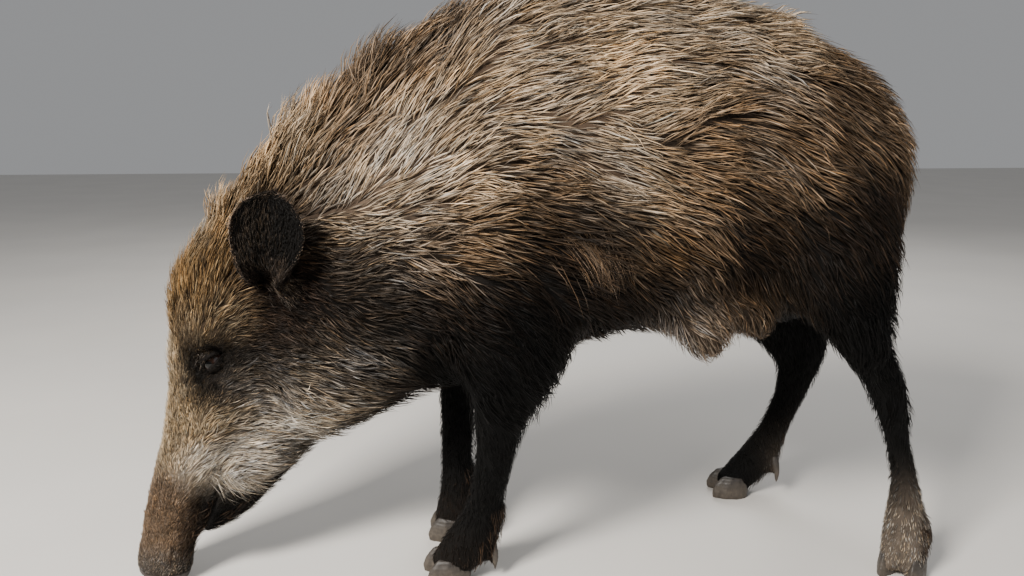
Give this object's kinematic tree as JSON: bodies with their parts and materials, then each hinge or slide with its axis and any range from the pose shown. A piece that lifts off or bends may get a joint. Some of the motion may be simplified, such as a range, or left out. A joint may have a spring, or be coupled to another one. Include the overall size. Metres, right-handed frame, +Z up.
{
  "type": "wild boar",
  "caption": "Life-size wild boar sow in her winter coat, standing still with her head down and her nose on the floor, for a diorama or a scene.",
  "frame": {"origin": "middle of the bounding box, on the floor under the belly", "axes": "+Z up, the head is towards -X and the tail towards +X, the animal's left side is towards -Y"},
  "size_m": [0.9648, 0.3228, 0.706],
  "materials": {
    "hair": "coarse grizzled brown bristle coat, matt",
    "dark_hair": "short black-brown hair, matt",
    "nose": "bare grey-brown skin, slightly damp",
    "eye": "dark brown, wet gloss",
    "horn": "worn horn of hooves and dewclaws, semi-matt"
  },
  "bodies": {
    "root": {"belly": "hair", "chest": "hair", "ear_left": "dark_hair", "ear_right": "dark_hair", "eye_left": "eye", "eye_right": "eye", "fore_left_dewclaw_inner": "horn", "fore_left_dewclaw_outer": "horn", "fore_left_foot": "dark_hair", "fore_left_forearm": "dark_hair", "fore_left_hoof_inner": "horn", "fore_left_hoof_outer": "horn", "fore_left_shoulder": "hair", "fore_right_dewclaw_inner": "horn", "fore_right_dewclaw_outer": "horn", "fore_right_foot": "dark_hair", "fore_right_forearm": "dark_hair", "fore_right_hoof_inner": "horn", "fore_right_hoof_outer": "horn", "fore_right_shoulder": "hair", "head": "hair", "hind_left_dewclaw_inner": "horn", "hind_left_dewclaw_outer": "horn", "hind_left_foot": "dark_hair", "hind_left_hoof_inner": "horn", "hind_left_hoof_outer": "horn", "hind_left_shank": "dark_hair", "hind_left_thigh": "hair", "hind_right_dewclaw_inner": "horn", "hind_right_dewclaw_outer": "horn", "hind_right_foot": "dark_hair", "hind_right_hoof_inner": "horn", "hind_right_hoof_outer": "horn", "hind_right_shank": "dark_hair", "hind_right_thigh": "hair", "lower_jaw": "hair", "neck": "hair", "nose": "nose", "rump": "hair", "tail": "dark_hair"}
  },
  "joints": []
}
